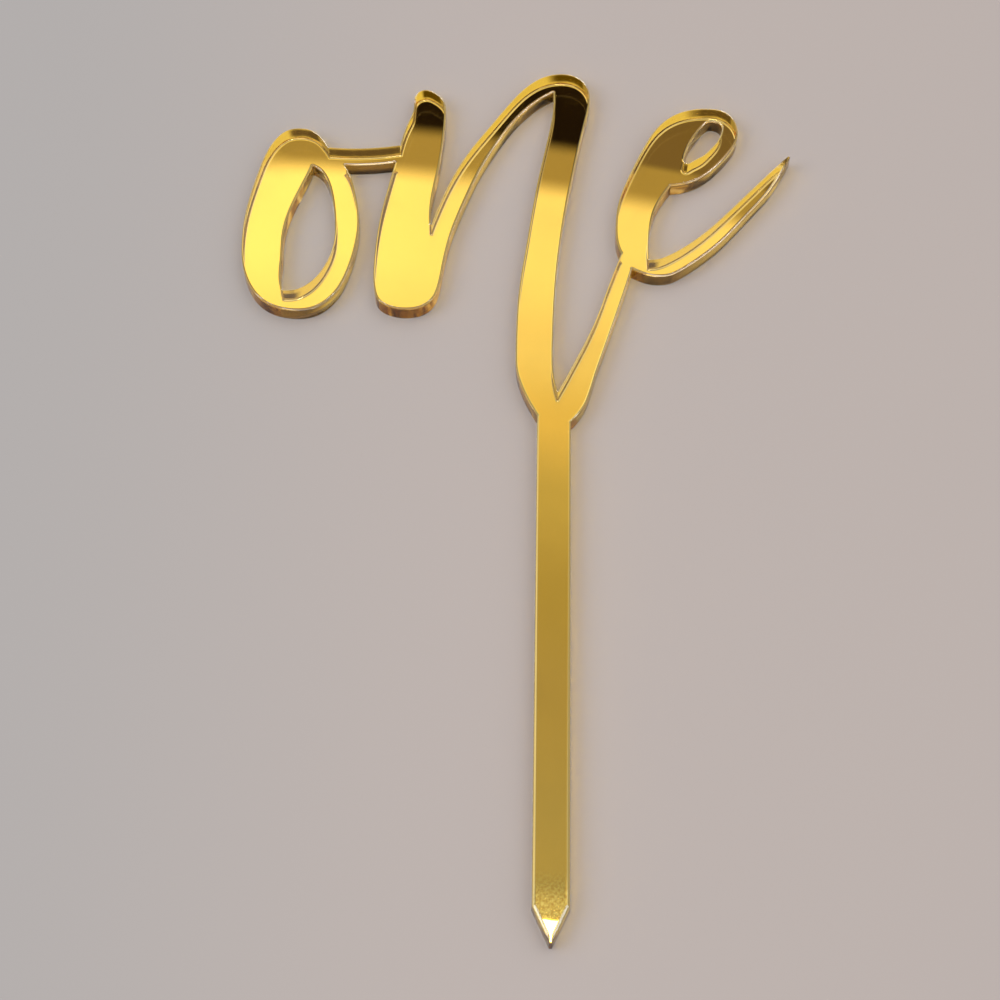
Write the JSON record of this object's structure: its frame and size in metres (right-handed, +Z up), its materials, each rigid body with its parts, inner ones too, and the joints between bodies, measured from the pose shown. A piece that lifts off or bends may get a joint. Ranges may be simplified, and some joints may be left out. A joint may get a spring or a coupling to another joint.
{
  "type": "cake topper",
  "caption": "Flat laser-cut number-word cake topper in gold mirror acrylic, a linked script word above one straight pick with a pointed end that pushes into the cake.",
  "frame": {"origin": "middle of the pick's section at the cake's surface, where the pick ends and the word begins", "axes": "+Z up along the pick, +X to the right of the word, -Y towards the reader, so the mirror's front faces -Y and its lacquered back faces +Y"},
  "size_m": [0.1023, 0.003, 0.1717],
  "materials": {
    "gold_tinted_acrylic": "clear amber-gold, polished face, laser-cut edge",
    "mirror_metal": "vacuum-metallised mirror",
    "grey_back_lacquer": "satin protective lacquer"
  },
  "bodies": {
    "root": {"tinted_acrylic_sheet": "gold_tinted_acrylic", "mirror_film": "mirror_metal", "backing_coat": "grey_back_lacquer"}
  },
  "joints": []
}
